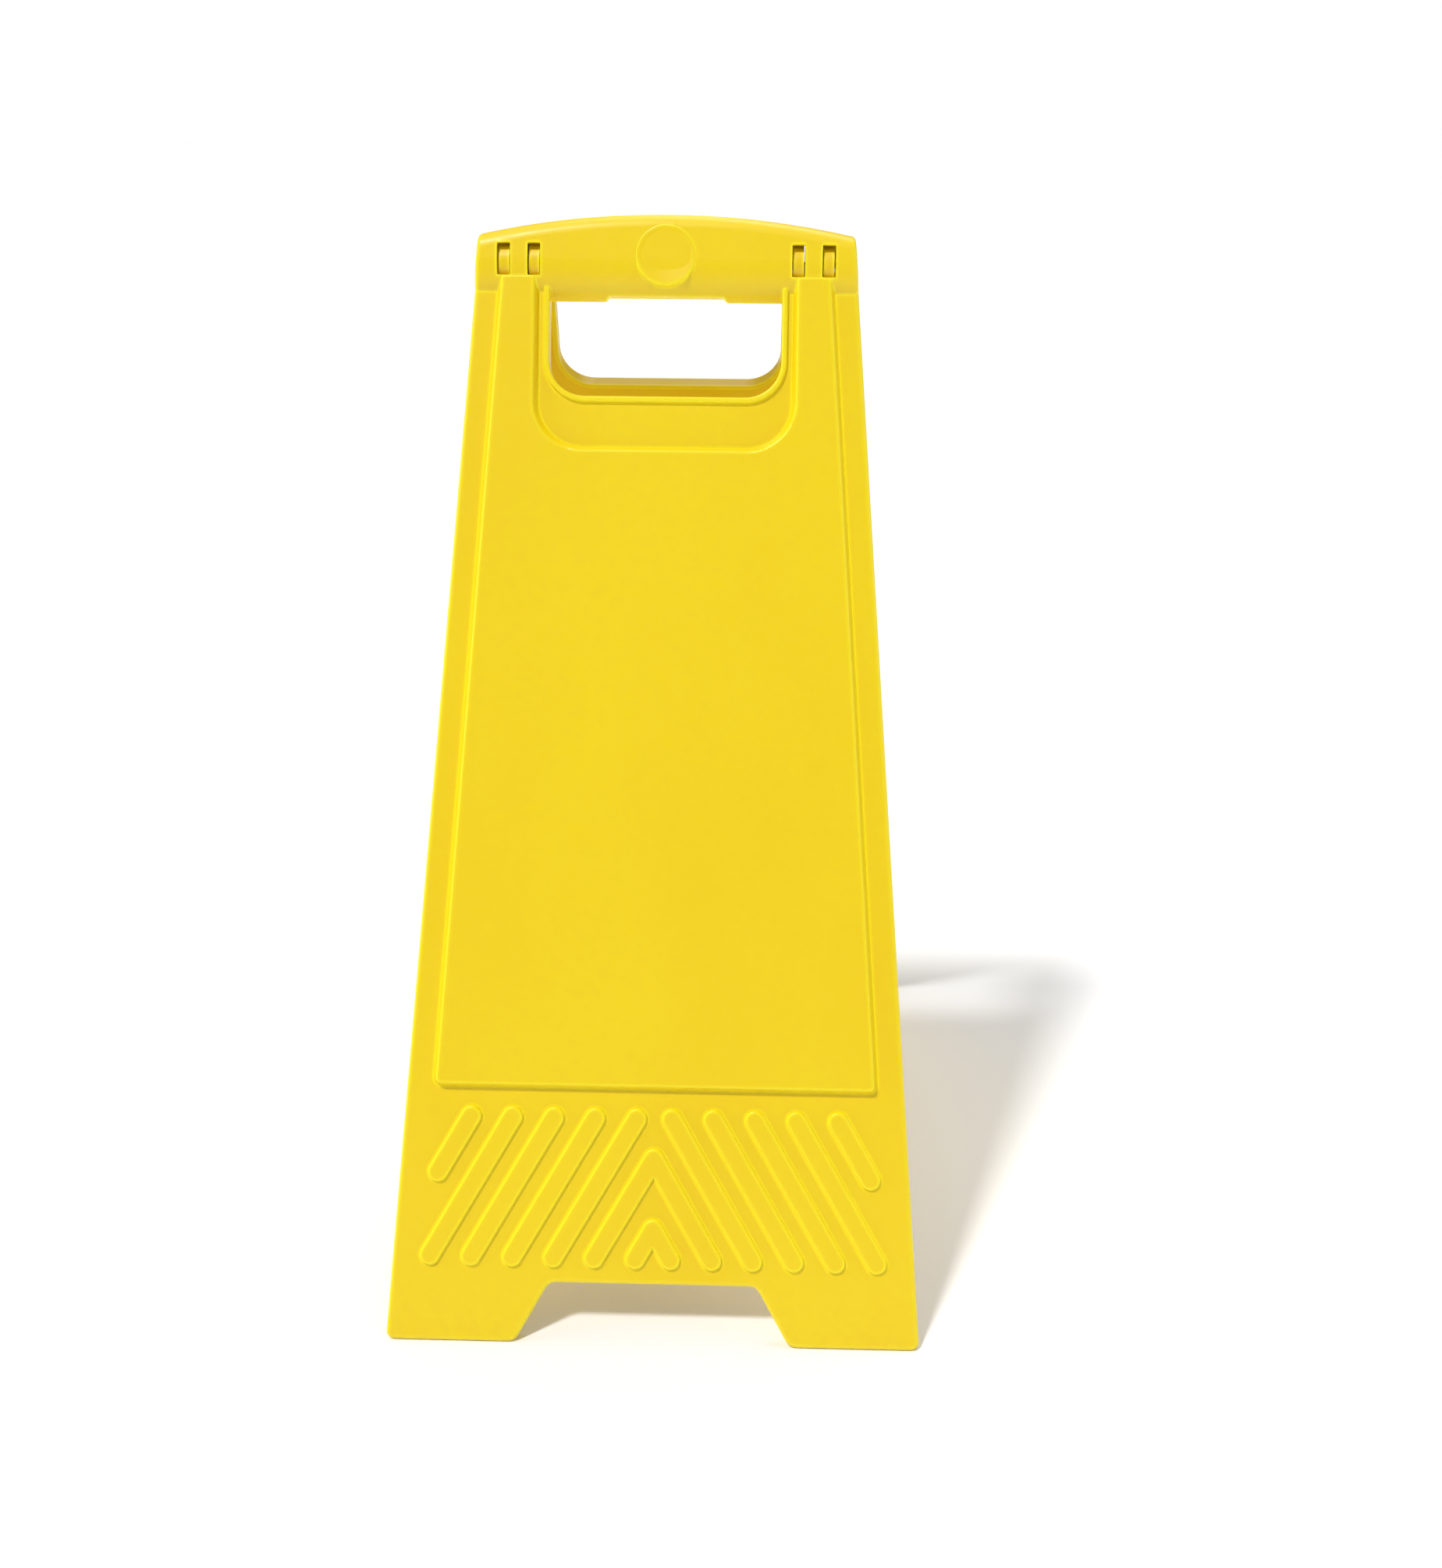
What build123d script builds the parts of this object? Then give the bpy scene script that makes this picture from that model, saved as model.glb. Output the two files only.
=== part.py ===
from build123d import *
from math import cos, radians, sin, sqrt, tan
import os

# A plain folding floor sign: two thin moulded panels that hinge inside their round carry handle.
# Row frame: X across, Z up from the floor, the front panel faces -Y, the origin is under the middle.
# Panel frame: X across, Y up the panel from the hinge axis, Z out from the parting plane.
# All lengths are in millimetres and all angles in degrees.

# Whole sign
STAND_HEIGHT = 600.0
TOP_WIDTH = 210.0
FOOT_WIDTH = 305.0
LEAN = 20.0
WALL = 2.4
PARTING_GAP = 0.4
RIM_DEPTH = 8.0
RIM_ROUND = 2.2

# Handle: a half tube on each panel, with a crowned top
HANDLE_CREST = 14.0
HANDLE_DROP = 20.5
CROWN_TOP = 27.0
CROWN_CORNER = 15.0
CROWN_ROUND = 9.0
STOP_GAP = 0.15
FINGER_RELIEF = (64.0, 2.0)
THUMB_PAD_RADIUS = 17.0
THUMB_PAD_RISE = 2.5
THUMB_PAD_PROUD = 0.2
THUMB_DISH = 1.0
THUMB_PAD_ROUND = 0.8

# Hand hole and the ridge round it
HOLE_WIDTH = 130.0
HOLE_BOTTOM = 74.6
HOLE_ROUND = 20.0
RIDGE_WIDTH = 3.2
RIDGE_HEIGHT = 2.2
RIDGE_ROUND = 1.2

# Raised display face, with a leg up each side of the hand hole
DISPLAY_HEIGHT = 4.8
DISPLAY_TOP = 6.5
DISPLAY_TOP_WIDTH = 187.0
DISPLAY_BOTTOM_WIDTH = 253.0
DISPLAY_ABOVE_FOOT = 147.5
DISPLAY_ROUND = 5.0
RECESS_WIDTH = 142.0
RECESS_BOTTOM = 102.7
RECESS_ROUND = 25.0
DISPLAY_TAPER = 28.0
DISPLAY_EDGE_ROUND = 1.5

# Feet
CUTOUT_TOP_WIDTH = 118.0
CUTOUT_ABOVE_FOOT = 35.6
CUTOUT_SLANT = 0.56
CUTOUT_ROUND = 7.0
FOOT_OUTER_ROUND = 4.5
FOOT_INNER_ROUND = 6.5

# Chevron grip ribs, measured between the centres of their round ends
RIB_WIDTH = 11.5
RIB_HEIGHT = 2.0
RIB_EDGE_ROUND = 1.2
RIB_PITCH = 23.5
RIB_START = 10.0
RIB_SLOPE = 0.58
RIBS_TOP_ABOVE_FOOT = 131.0
RIBS_BOTTOM_ABOVE_FOOT = 50.5
SHORT_RIB_DROP = 32.5
LONG_RIBS = 4

# Hinge: a pin pressed into the front panel's knuckle, with a rear panel ear on each side of it
PIN_RADIUS = 3.0
PIN_CHAMFER = 0.5
EAR_CLEARANCE = 0.05
EYE_RADIUS = 12.2
EYE_WEB = 14.0
KNUCKLE = (77.4, 86.6)
EARS = ((70.6, 76.6), (87.4, 93.4))
PIN_ENDS = (69.6, 94.4)
FRONT_WINDOWS = ((70.0, 77.2), (86.8, 94.2))
REAR_WINDOWS = ((76.8, 87.2),)
WINDOW_TOP = 8.8
WINDOW_BOTTOM = 8.8
WINDOW_ROUND = 0.8

# Worked-out places
lean = radians(LEAN)
crown_centre = Vector(0, CROWN_TOP - CROWN_ROUND, HANDLE_CREST - CROWN_ROUND)
crown_offset = crown_centre.Y * sin(lean) - crown_centre.Z * cos(lean)
crown_rise = crown_centre.Y * cos(lean) + crown_centre.Z * sin(lean)
hinge_height = STAND_HEIGHT - crown_rise - sqrt(CROWN_ROUND**2 - crown_offset**2)
foot_front = -(hinge_height + RIM_DEPTH * sin(lean)) / cos(lean)
ribs_top = foot_front + RIBS_TOP_ABOVE_FOOT
ribs_bottom = foot_front + RIBS_BOTTOM_ABOVE_FOOT
display_bottom = foot_front + DISPLAY_ABOVE_FOOT
cutout_top = foot_front + CUTOUT_ABOVE_FOOT
BELOW_FOOT = 15.0
OVERLAP = 5.0

front_face = Plane(origin=(0, 0, hinge_height), x_dir=(1, 0, 0), z_dir=(0, -cos(lean), sin(lean)))
rear_face = Plane(origin=(0, 0, hinge_height), x_dir=(-1, 0, 0), z_dir=(0, cos(lean), sin(lean)))


def side_at(y):
    """Half width of the panel's outline at a height up the panel."""
    spread = (FOOT_WIDTH - TOP_WIDTH) / 2 / (CROWN_CORNER - foot_front)
    return TOP_WIDTH / 2 + spread * (CROWN_CORNER - y)


def floor_plane(inset):
    """The floor that the open sign stands on, raised by an inset, in the panel frame."""
    up = Vector(0, cos(lean), sin(lean))
    return Plane(origin=Vector(0, -hinge_height / cos(lean), 0) + up * inset, z_dir=up)


def panel_outline(inset):
    """Crowned outline of the panel's top, used to trim the handle; down to below the handle."""
    low = -3 * HANDLE_DROP
    corner = side_at(CROWN_CORNER) - inset
    with BuildSketch() as outline:
        with BuildLine():
            Polyline(
                (-corner, CROWN_CORNER - inset),
                (-side_at(low) + inset, low),
                (side_at(low) - inset, low),
                (corner, CROWN_CORNER - inset),
            )
            ThreePointArc(
                (corner, CROWN_CORNER - inset), (0, CROWN_TOP - inset), (-corner, CROWN_CORNER - inset)
            )
        make_face()
    return outline.sketch


def slab(inset):
    """The flat tapering body with its foot cut-out; an inset gives the space inside it."""
    low = foot_front - BELOW_FOOT
    slant = sqrt(1 + CUTOUT_SLANT**2)
    narrow = CUTOUT_TOP_WIDTH / 2 + inset * (slant - CUTOUT_SLANT)
    wide = CUTOUT_TOP_WIDTH / 2 + CUTOUT_SLANT * (cutout_top - low) + inset * slant
    with BuildPart() as body:
        with BuildSketch():
            with BuildLine():
                Polyline(
                    (-side_at(OVERLAP) + inset, OVERLAP),
                    (side_at(OVERLAP) - inset, OVERLAP),
                    (side_at(low) - inset, low),
                    (-side_at(low) + inset, low),
                    close=True,
                )
            make_face()
            with BuildLine():
                Polyline(
                    (-narrow, cutout_top + inset),
                    (narrow, cutout_top + inset),
                    (wide, low),
                    (-wide, low),
                    close=True,
                )
            make_face(mode=Mode.SUBTRACT)
        extrude(amount=RIM_DEPTH - inset)
        split(bisect_by=floor_plane(inset), keep=Keep.TOP)
        arch = body.edges().filter_by(Axis.Z).group_by(Axis.Y)[-2]
        fillet(arch, CUTOUT_ROUND + inset)
        fillet(foot_corners(body.part, inset)[-1], FOOT_OUTER_ROUND - inset / 2)
        fillet(foot_corners(body.part, inset)[0], FOOT_INNER_ROUND - inset / 2)
    return body


def foot_corners(solid, inset):
    """The upright corner edges of the feet, in groups from the inner pair to the outer pair."""
    soles = solid.faces().filter_by(floor_plane(inset))
    corners = soles.edges().filter_by(Axis.X, reverse=True).filter_by(GeomType.LINE)
    uprights = corners.filter_by(lambda edge: edge.length > RIM_DEPTH / 2)
    return uprights.group_by(lambda edge: abs(edge.center().X))


def handle_tube(inset):
    """Half of the round handle across the panel's top; an inset gives the space inside it."""
    crest = HANDLE_CREST - inset
    drop = HANDLE_DROP - (inset + FINGER_RELIEF[1] if inset else 0)
    reach = TOP_WIDTH / 2 + 3 * OVERLAP
    with BuildPart() as tube:
        with BuildSketch(Plane.YZ.offset(-reach)):
            with BuildLine():
                EllipticalCenterArc((0, 0), drop, crest, start_angle=90, arc_size=90)
                Polyline((-drop, 0), (2 * drop, 0), (2 * drop, crest), (0, crest))
            make_face()
        extrude(amount=2 * reach)
        with BuildSketch():
            add(panel_outline(inset))
        extrude(amount=HANDLE_CREST, mode=Mode.INTERSECT)
        crown = tube.faces().sort_by(Axis.Z)[-1].edges().sort_by(Axis.Y)[-1]
        fillet(crown, CROWN_ROUND - inset)
    return tube


def hole_outline(grow, top):
    """The hand hole, grown on every side, from its rounded bottom up to a height."""
    half = HOLE_WIDTH / 2 + grow
    bottom = -HOLE_BOTTOM - grow
    with BuildSketch() as hole:
        with BuildLine():
            Polyline((-half, top), (-half, bottom), (half, bottom), (half, top), close=True)
        make_face()
        fillet(hole.vertices().group_by(Axis.Y)[0], HOLE_ROUND + grow)
    return hole.sketch


def display_outline(inset):
    """The raised face below the hand hole, with a leg up each side of the hole."""
    top = -DISPLAY_TOP - inset
    low = display_bottom + inset
    with BuildSketch() as outline:
        with BuildLine():
            Polyline(
                (-DISPLAY_BOTTOM_WIDTH / 2 + inset, low),
                (DISPLAY_BOTTOM_WIDTH / 2 - inset, low),
                (DISPLAY_TOP_WIDTH / 2 - inset, top),
                (-DISPLAY_TOP_WIDTH / 2 + inset, top),
                close=True,
            )
        make_face()
        fillet(outline.vertices().group_by(Axis.Y)[0], DISPLAY_ROUND)
        with BuildSketch(mode=Mode.PRIVATE) as recess:
            with BuildLine():
                half = RECESS_WIDTH / 2 + inset
                bottom = -RECESS_BOTTOM - inset
                Polyline((-half, 0), (-half, bottom), (half, bottom), (half, 0), close=True)
            make_face()
            fillet(recess.vertices().group_by(Axis.Y)[0], RECESS_ROUND + inset)
        add(recess.sketch, mode=Mode.SUBTRACT)
    return outline.sketch


def rib(start, end):
    """One round-ended grip rib between two points, in the active sketch."""
    run = Vector(*end) - Vector(*start)
    with Locations((Vector(*start) + Vector(*end)) / 2):
        SlotCenterToCenter(run.length, RIB_WIDTH, rotation=run.get_signed_angle(Vector(1, 0), Vector(0, 0, -1)))


def rib_outlines():
    """The chevron grip pattern: two nested chevrons with rows of slanted ribs on both sides."""
    long_run = RIB_SLOPE * (ribs_top - ribs_bottom)
    with BuildSketch() as pattern:
        for side in (-1, 1):
            for step in range(2):
                reach = RIB_START + step * RIB_PITCH
                rib((0, ribs_bottom + reach / RIB_SLOPE), (side * reach, ribs_bottom))
            for step in range(LONG_RIBS):
                top = RIB_START + step * RIB_PITCH
                rib((side * top, ribs_top), (side * (top + long_run), ribs_bottom))
            top = RIB_START + LONG_RIBS * RIB_PITCH
            foot = top + RIB_SLOPE * SHORT_RIB_DROP
            rib((side * top, ribs_top), (side * foot, ribs_top - SHORT_RIB_DROP))
    return pattern.sketch


def outer_form():
    """The panel's outer surfaces as one solid block, before it is hollowed out."""
    with BuildPart() as handle:
        add(handle_tube(0.0).part)
        ends = handle.faces().filter_by(lambda face: abs(face.normal_at().X) > 0.9)
        fillet(ends.edges().filter_by(lambda edge: edge.center().Z > 1), RIM_ROUND)
    with BuildPart() as pad:
        add(slab(0.0).part)
        outline = pad.faces().sort_by(Axis.Z)[-1].edges().sort_by(Axis.Y)[:-1]
        fillet(outline, RIM_ROUND)
        with BuildSketch():
            add(hole_outline(0.0, OVERLAP))
        extrude(amount=RIM_DEPTH, mode=Mode.SUBTRACT)
    with BuildPart() as display:
        with BuildSketch(Plane.XY.offset(RIM_DEPTH)):
            add(display_outline(0.0))
        extrude(amount=DISPLAY_HEIGHT, taper=DISPLAY_TAPER)
        fillet(display.faces().sort_by(Axis.Z)[-1].edges(), DISPLAY_EDGE_ROUND)
    with BuildPart() as ridge:
        with BuildSketch(Plane.XY.offset(RIM_DEPTH)):
            add(hole_outline(RIDGE_WIDTH, 0))
            add(hole_outline(0.0, 0), mode=Mode.SUBTRACT)
        extrude(amount=RIDGE_HEIGHT)
        fillet(ridge.faces().sort_by(Axis.Z)[-1].edges().sort_by(Axis.Y)[:-2], RIDGE_ROUND)
    with BuildPart() as ribs:
        with BuildSketch(Plane.XY.offset(RIM_DEPTH)):
            add(rib_outlines())
        extrude(amount=RIB_HEIGHT)
        fillet(ribs.faces().filter_by(Axis.Z).group_by(Axis.Z)[-1].edges(), RIB_EDGE_ROUND)
    with BuildPart() as thumb_pad:
        with BuildSketch(Plane.XY.offset(HANDLE_CREST / 2)):
            with Locations((0, THUMB_PAD_RISE)):
                Circle(THUMB_PAD_RADIUS)
        extrude(amount=HANDLE_CREST / 2 + THUMB_PAD_PROUD)
        fillet(thumb_pad.faces().sort_by(Axis.Z)[-1].edges(), THUMB_PAD_ROUND)
        dish = THUMB_PAD_RADIUS - 2 * THUMB_PAD_ROUND
        ball = (dish**2 + THUMB_DISH**2) / (2 * THUMB_DISH)
        with Locations((0, THUMB_PAD_RISE, HANDLE_CREST + THUMB_PAD_PROUD - THUMB_DISH + ball)):
            Sphere(ball, mode=Mode.SUBTRACT)
    with BuildPart() as form:
        add(pad.part)
        add(handle.part)
        add(display.part)
        add(ridge.part)
        add(ribs.part)
        add(thumb_pad.part)
    return form.part


def inner_space():
    """The space inside the panel: its outer form, smaller by the wall on every side."""
    with BuildPart() as space:
        add(slab(WALL).part)
        with BuildSketch():
            add(hole_outline(WALL, OVERLAP))
        extrude(amount=RIM_DEPTH, mode=Mode.SUBTRACT)
        add(handle_tube(WALL).part)
        with BuildSketch(Plane.XY.offset(RIM_DEPTH - WALL)):
            add(display_outline(WALL))
        extrude(amount=DISPLAY_HEIGHT)
    return space.part


def moulding(windows):
    """A hollow panel with its handle windows, before the hinge eyes are added."""
    outer = outer_form()
    space = inner_space()
    with BuildPart() as shell:
        add(outer)
        add(space, mode=Mode.SUBTRACT)
        with BuildSketch():
            half = FINGER_RELIEF[0] / 2
            low = -HANDLE_DROP - 1
            high = -HANDLE_DROP + FINGER_RELIEF[1]
            with BuildLine():
                Polyline(
                    (-half - high + low, low), (half + high - low, low), (half, high), (-half, high), close=True
                )
            make_face()
        extrude(amount=HANDLE_CREST, mode=Mode.SUBTRACT)
        with BuildSketch(Plane.XY.offset(RIM_DEPTH / 2)):
            for low, high in windows:
                for side in (-1, 1):
                    with Locations((side * (low + high) / 2, (WINDOW_TOP - WINDOW_BOTTOM) / 2)):
                        RectangleRounded(high - low, WINDOW_TOP + WINDOW_BOTTOM, WINDOW_ROUND)
        extrude(amount=HANDLE_CREST, mode=Mode.SUBTRACT)
        with BuildSketch(Plane.YZ.offset(-FOOT_WIDTH)):
            with BuildLine():
                far = 2 * CROWN_TOP
                near = 2 * foot_front
                gap = STOP_GAP / cos(lean)
                Polyline(
                    (near, -1),
                    (far, -1),
                    (far, far * tan(lean) + gap),
                    ((PARTING_GAP - gap) / tan(lean), PARTING_GAP),
                    (near, PARTING_GAP),
                    close=True,
                )
            make_face()
        extrude(amount=2 * FOOT_WIDTH, mode=Mode.SUBTRACT)
    return shell.part


def panel(windows, eyes, bore_radius):
    """A finished panel in its own frame, with hinge eyes hanging from the inside of the handle."""
    shell = moulding(windows)
    with BuildPart() as body:
        add(shell)
        for low, high in eyes:
            for start in (low, -high):
                with BuildSketch(Plane.YZ.offset(start)):
                    Circle(EYE_RADIUS)
                    Rectangle(EYE_WEB, HANDLE_CREST - WALL / 2, align=(Align.CENTER, Align.MIN))
                    Circle(bore_radius, mode=Mode.SUBTRACT)
                extrude(amount=high - low)
    return body.part


def hinge_pin(side):
    """A short round pin on the hinge axis, in one end of the handle."""
    length = PIN_ENDS[1] - PIN_ENDS[0]
    middle = side * (PIN_ENDS[0] + PIN_ENDS[1]) / 2
    with BuildPart() as pin:
        with Locations((middle, 0, hinge_height)):
            Cylinder(PIN_RADIUS, length, rotation=(0, 90, 0))
        chamfer(pin.edges().filter_by(GeomType.CIRCLE), PIN_CHAMFER)
    return pin.part


front_moulding = panel(FRONT_WINDOWS, (KNUCKLE,), PIN_RADIUS)
with BuildPart() as front_panel:
    with Locations(front_face):
        add(front_moulding)

rear_moulding = panel(REAR_WINDOWS, EARS, PIN_RADIUS + EAR_CLEARANCE)
with BuildPart() as rear_panel:
    with Locations(rear_face):
        add(rear_moulding)

with BuildPart() as hinge_pin_left:
    add(hinge_pin(-1))

with BuildPart() as hinge_pin_right:
    add(hinge_pin(1))

front_panel.part.label = "front_panel"
rear_panel.part.label = "rear_panel"
hinge_pin_left.part.label = "hinge_pin_left"
hinge_pin_right.part.label = "hinge_pin_right"

os.makedirs("parts", exist_ok=True)
export_step(front_panel.part, "parts/front_panel.step")
export_step(rear_panel.part, "parts/rear_panel.step")
export_step(hinge_pin_left.part, "parts/hinge_pin_left.step")
export_step(hinge_pin_right.part, "parts/hinge_pin_right.step")
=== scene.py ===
from math import cos, radians, sin

import bpy
from mathutils import Matrix, Vector

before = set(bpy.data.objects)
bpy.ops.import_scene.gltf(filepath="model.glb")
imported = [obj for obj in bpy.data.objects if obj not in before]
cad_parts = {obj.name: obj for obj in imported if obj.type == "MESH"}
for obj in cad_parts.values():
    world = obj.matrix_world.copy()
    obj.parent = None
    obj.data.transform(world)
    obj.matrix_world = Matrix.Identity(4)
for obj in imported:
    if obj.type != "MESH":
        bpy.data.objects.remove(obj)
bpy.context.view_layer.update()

# Camera: a metre in front of the sign, a little above its top, looking down at it
CAMERA_TARGET = Vector((0.0337, -0.060, 0.2833))
CAMERA_DISTANCE = 1.0
CAMERA_AZIMUTH = radians(1.36)
CAMERA_ELEVATION = radians(21.89)
CAMERA_ROLL = radians(0.41)
CAMERA_LENS_MM = 38.72

# Studio
WORLD_LIGHT = 0.27
KEY_STRENGTH = 2.15
KEY_FROM = Vector((-0.85, -0.93, 2.18))
KEY_SOFTNESS = radians(7)
TOP_STRENGTH = 0.95
TOP_FROM = Vector((0.2, 0.95, 2.1))
TOP_SOFTNESS = radians(35)
SIDE_WATTS = 6.0
SIDE_SIZE = 0.9
SIDE_FROM = Vector((1.7, -0.25, 0.75))
MIDDLE = Vector((0.0, 0.0, 0.3))
FLOOR_SIZE = 60.0
FLOOR_WHITE = (0.93, 0.93, 0.93, 1.0)
FLOOR_ROUGHNESS = 0.9
FLOOR_SPECULAR = 0.1

# Moulded plastic, linear colours
YELLOW = (0.88, 0.65, 0.004)
YELLOW_DEEP = (0.86, 0.60, 0.003)
# Painted highlight: a brighter yellow laid along rounded edges where light would catch them; the next
# three numbers set its reach, strength and the normal turn that masks it
PAINTED_HIGHLIGHT_YELLOW = (1.0, 0.90, 0.004)
PAINTED_HIGHLIGHT_REACH = 0.003
PAINTED_HIGHLIGHT_STRENGTH = 0.95
PAINTED_HIGHLIGHT_TURN = (0.995, 0.93)
FOOT_DUST = 0.15
DUST_HEIGHT = 0.03
SCUFF = (0.74, 0.52, 0.02)
PLASTIC_IOR = 1.49
MOTTLE_SCALE = 160.0
GRAIN_SCALE = 2600.0
REAR_SHIFT = 3.7

# Zinc-plated steel, linear colours
STEEL_DARK = (0.50, 0.50, 0.49)
STEEL_LIGHT = (0.63, 0.63, 0.61)


class Graph:
    """A small helper that adds and links shader nodes."""

    def __init__(self, tree):
        self.tree = tree

    def add(self, kind, **values):
        node = self.tree.nodes.new(kind)
        for name, value in values.items():
            setattr(node, name, value)
        return node

    def link(self, source, target):
        self.tree.links.new(source, target)

    def noise(self, where, scale, detail=2.0, roughness=0.5):
        node = self.add("ShaderNodeTexNoise")
        node.inputs["Scale"].default_value = scale
        node.inputs["Detail"].default_value = detail
        node.inputs["Roughness"].default_value = roughness
        self.link(where, node.inputs["Vector"])
        return node.outputs["Fac"]

    def remap(self, value, low, high, to_low, to_high):
        node = self.add("ShaderNodeMapRange")
        for name, number in (
            ("From Min", low),
            ("From Max", high),
            ("To Min", to_low),
            ("To Max", to_high),
        ):
            node.inputs[name].default_value = number
        self.link(value, node.inputs["Value"])
        return node.outputs["Result"]

    def maths(self, operation, first, second):
        node = self.add("ShaderNodeMath", operation=operation)
        for socket, value in zip(node.inputs, (first, second)):
            if isinstance(value, (int, float)):
                socket.default_value = value
            else:
                self.link(value, socket)
        return node.outputs["Value"]

    def mix_colour(self, factor, first, second):
        node = self.add("ShaderNodeMix", data_type="RGBA")
        self.link(factor, node.inputs["Factor"])
        for socket, value in ((node.inputs["A"], first), (node.inputs["B"], second)):
            if isinstance(value, tuple):
                socket.default_value = (*value, 1.0)
            else:
                self.link(value, socket)
        return node.outputs["Result"]

    def bump(self, height, distance, strength, normal=None):
        node = self.add("ShaderNodeBump")
        node.inputs["Distance"].default_value = distance
        node.inputs["Strength"].default_value = strength
        self.link(height, node.inputs["Height"])
        if normal is not None:
            self.link(normal, node.inputs["Normal"])
        return node.outputs["Normal"]


def new_material(name):
    material = bpy.data.materials.new(name)
    material.use_nodes = True
    graph = Graph(material.node_tree)
    return material, graph, material.node_tree.nodes["Principled BSDF"]


def stretched(graph, where, scale):
    """The place stretched by a scale on each axis, for streaks."""
    node = graph.add("ShaderNodeMapping")
    node.inputs["Scale"].default_value = scale
    graph.link(where, node.inputs["Vector"])
    return node.outputs["Vector"]


def moulded_yellow(name, seed_shift):
    """Yellow polypropylene: mould grain, flow marks, scratches, a painted highlight of paler yellow
    along every rounded edge, and faint dust low down.
    """
    material, graph, surface = new_material(name)
    place = graph.add("ShaderNodeTexCoord").outputs["Object"]
    shifted = graph.add("ShaderNodeMapping")
    shifted.inputs["Location"].default_value = (seed_shift, 0.0, 0.0)
    graph.link(place, shifted.inputs["Vector"])
    place = shifted.outputs["Vector"]

    flow = graph.noise(stretched(graph, place, (9.0, 9.0, 3.0)), 1.0, 4.0, 0.55)
    mottle = graph.noise(place, MOTTLE_SCALE, 3.0)
    grain = graph.noise(place, GRAIN_SCALE, 2.0)
    flow_fade = graph.remap(flow, 0.35, 0.7, 0.0, 0.8)
    colour = graph.mix_colour(flow_fade, YELLOW, YELLOW_DEEP)
    mottle_fade = graph.remap(mottle, 0.45, 0.75, 0.0, 0.35)
    colour = graph.mix_colour(mottle_fade, colour, YELLOW_DEEP)

    scratches = graph.noise(stretched(graph, place, (520.0, 60.0, 14.0)), 1.0, 3.0, 0.6)
    scratch_line = graph.remap(scratches, 0.66, 0.72, 0.0, 1.0)
    patches = graph.remap(graph.noise(place, 7.0, 3.0), 0.5, 0.65, 0.0, 1.0)
    scratch_fade = graph.maths("MULTIPLY", scratch_line, patches)

    # Painted highlight: the colour goes to a brighter yellow wherever the bevelled normal turns away
    # from the flat normal, on every edge alike
    rounded = graph.add("ShaderNodeBevel", samples=4)
    rounded.inputs["Radius"].default_value = PAINTED_HIGHLIGHT_REACH
    flat = graph.add("ShaderNodeNewGeometry").outputs["Normal"]
    turn = graph.add("ShaderNodeVectorMath", operation="DOT_PRODUCT")
    graph.link(rounded.outputs["Normal"], turn.inputs[0])
    graph.link(flat, turn.inputs[1])
    painted_highlight = graph.remap(turn.outputs["Value"], *PAINTED_HIGHLIGHT_TURN, 0.0, PAINTED_HIGHLIGHT_STRENGTH)
    colour = graph.mix_colour(painted_highlight, colour, PAINTED_HIGHLIGHT_YELLOW)

    height = graph.add("ShaderNodeSeparateXYZ")
    graph.link(place, height.inputs["Vector"])
    near_floor = graph.remap(height.outputs["Z"], 0.0, DUST_HEIGHT, FOOT_DUST, 0.0)
    dust = graph.maths("MULTIPLY", near_floor, graph.remap(mottle, 0.4, 0.65, 0.0, 1.0))
    colour = graph.mix_colour(dust, colour, SCUFF)
    graph.link(colour, surface.inputs["Base Color"])

    rough = graph.remap(mottle, 0.3, 0.7, 0.34, 0.42)
    rough = graph.maths("ADD", rough, graph.maths("MULTIPLY", scratch_fade, 0.12))
    rough = graph.maths("ADD", rough, graph.maths("MULTIPLY", dust, 0.15))
    graph.link(rough, surface.inputs["Roughness"])

    normal = graph.bump(flow, 0.0012, 0.35)
    normal = graph.bump(grain, 0.00006, 0.30, normal)
    normal = graph.bump(scratch_fade, 0.00004, 0.30, normal)
    graph.link(normal, surface.inputs["Normal"])
    surface.inputs["IOR"].default_value = PLASTIC_IOR
    return material


def plated_steel(name):
    """Dull zinc-plated pins with fine lengthwise drawing marks."""
    material, graph, surface = new_material(name)
    place = graph.add("ShaderNodeTexCoord").outputs["Object"]
    drawn = graph.noise(stretched(graph, place, (60.0, 2400.0, 2400.0)), 1.0, 3.0)
    spangle = graph.noise(place, 420.0, 2.0)
    shade = graph.mix_colour(graph.remap(spangle, 0.3, 0.7, 0.0, 1.0), STEEL_DARK, STEEL_LIGHT)
    graph.link(shade, surface.inputs["Base Color"])
    graph.link(graph.remap(drawn, 0.3, 0.7, 0.28, 0.46), surface.inputs["Roughness"])
    graph.link(graph.bump(drawn, 0.00003, 0.4), surface.inputs["Normal"])
    surface.inputs["Metallic"].default_value = 1.0
    return material


def finish_nodes():
    """Gives every CAD node its own finished material."""
    finishes = {
        "front_panel": moulded_yellow("front_panel_plastic", 0.0),
        "rear_panel": moulded_yellow("rear_panel_plastic", REAR_SHIFT),
        "hinge_pin_left": plated_steel("pin_steel"),
    }
    finishes["hinge_pin_right"] = finishes["hinge_pin_left"]
    for name, material in finishes.items():
        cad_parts[name].data.materials.clear()
        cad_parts[name].data.materials.append(material)


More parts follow.
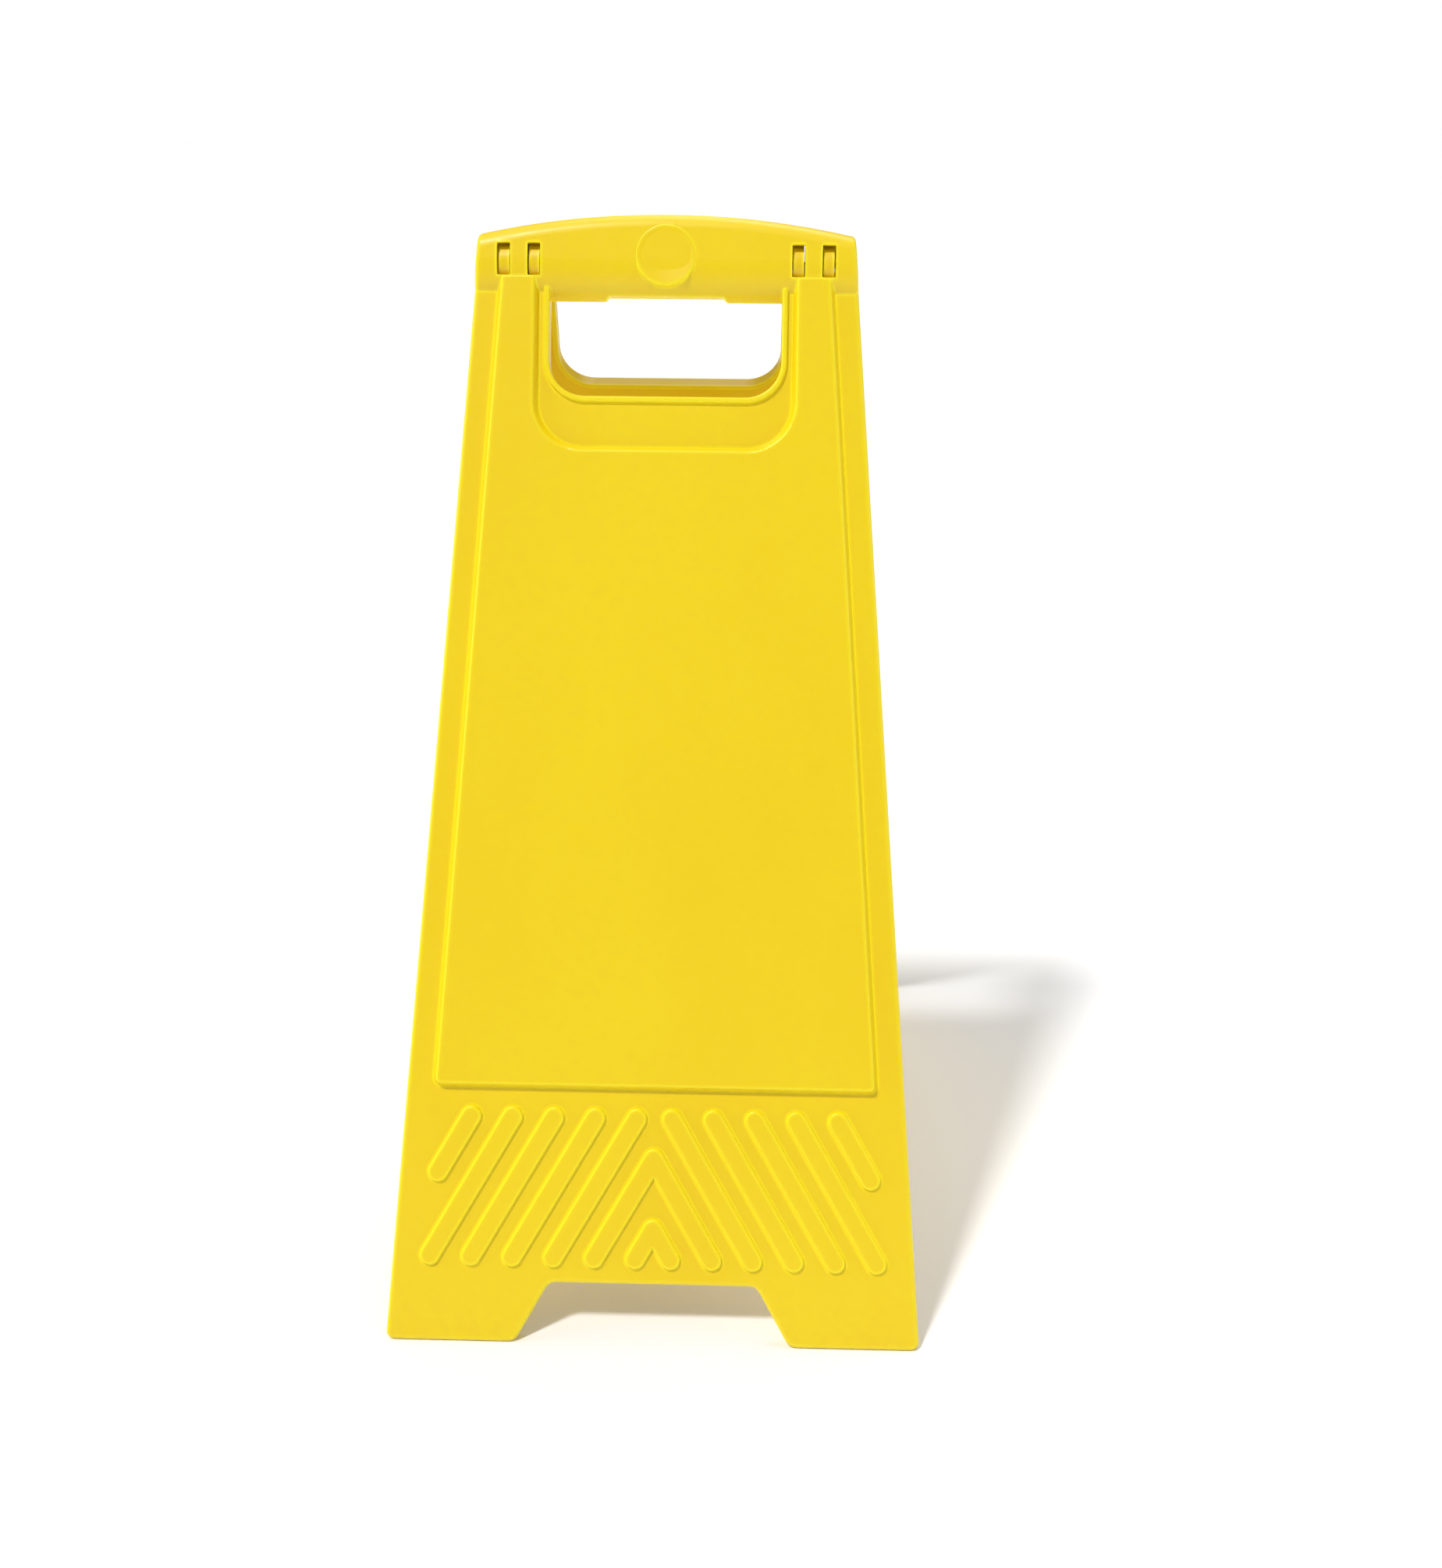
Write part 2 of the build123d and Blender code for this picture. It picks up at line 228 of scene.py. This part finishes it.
def make_floor():
    """A wide white studio floor."""
    half = FLOOR_SIZE / 2
    mesh = bpy.data.meshes.new("studio_floor")
    corners = [(-half, -half, 0), (half, -half, 0), (half, half, 0), (-half, half, 0)]
    mesh.from_pydata(corners, [], [(0, 1, 2, 3)])
    floor = bpy.data.objects.new("studio_floor", mesh)
    bpy.context.scene.collection.objects.link(floor)
    material, _, surface = new_material("studio_white")
    surface.inputs["Base Color"].default_value = FLOOR_WHITE
    surface.inputs["Roughness"].default_value = FLOOR_ROUGHNESS
    surface.inputs["Specular IOR Level"].default_value = FLOOR_SPECULAR
    mesh.materials.append(material)


def sun(name, place, strength, softness):
    """Parallel light from a direction, with soft shadows."""
    lamp = bpy.data.lights.new(name, "SUN")
    lamp.energy = strength
    lamp.angle = softness
    light = bpy.data.objects.new(name, lamp)
    light.rotation_euler = (-place).to_track_quat("-Z", "Y").to_euler()
    bpy.context.scene.collection.objects.link(light)


def soft_light(name, place, size, watts, target):
    """A square area light aimed at a point."""
    lamp = bpy.data.lights.new(name, "AREA")
    lamp.size = size
    lamp.energy = watts
    light = bpy.data.objects.new(name, lamp)
    light.location = place
    light.rotation_euler = (target - place).to_track_quat("-Z", "Y").to_euler()
    bpy.context.scene.collection.objects.link(light)


def white_world():
    """An even white surround, pure white behind the object."""
    world = bpy.data.worlds.new("studio")
    world.use_nodes = True
    bpy.context.scene.world = world
    graph = Graph(world.node_tree)
    background = world.node_tree.nodes["Background"]
    background.inputs["Color"].default_value = (1.0, 1.0, 1.0, 1.0)
    seen = graph.add("ShaderNodeLightPath").outputs["Is Camera Ray"]
    graph.link(graph.remap(seen, 0.0, 1.0, WORLD_LIGHT, 1.0), background.inputs["Strength"])


def place_camera():
    """The camera circles its target by azimuth and elevation, with a slight roll."""
    back = Vector(
        (
            sin(CAMERA_AZIMUTH) * cos(CAMERA_ELEVATION),
            -cos(CAMERA_AZIMUTH) * cos(CAMERA_ELEVATION),
            sin(CAMERA_ELEVATION),
        )
    )
    level_right = Vector((0, 0, 1)).cross(back).normalized()
    level_up = back.cross(level_right)
    right = level_right * cos(CAMERA_ROLL) + level_up * sin(CAMERA_ROLL)
    up = level_up * cos(CAMERA_ROLL) - level_right * sin(CAMERA_ROLL)
    turn = Matrix((right, up, back)).transposed()
    data = bpy.data.cameras.new("camera")
    data.lens = CAMERA_LENS_MM
    camera = bpy.data.objects.new("camera", data)
    camera.matrix_world = Matrix.Translation(CAMERA_TARGET + back * CAMERA_DISTANCE) @ turn.to_4x4()
    bpy.context.scene.collection.objects.link(camera)
    bpy.context.scene.camera = camera


bpy.context.scene.view_settings.view_transform = "Standard"
finish_nodes()
make_floor()
white_world()
sun("key", KEY_FROM, KEY_STRENGTH, KEY_SOFTNESS)
sun("top", TOP_FROM, TOP_STRENGTH, TOP_SOFTNESS)
for side in (-1, 1):
    place = Vector((side * SIDE_FROM.x, SIDE_FROM.y, SIDE_FROM.z))
    soft_light(f"side_{side}", place, SIDE_SIZE, SIDE_WATTS, MIDDLE)
place_camera()
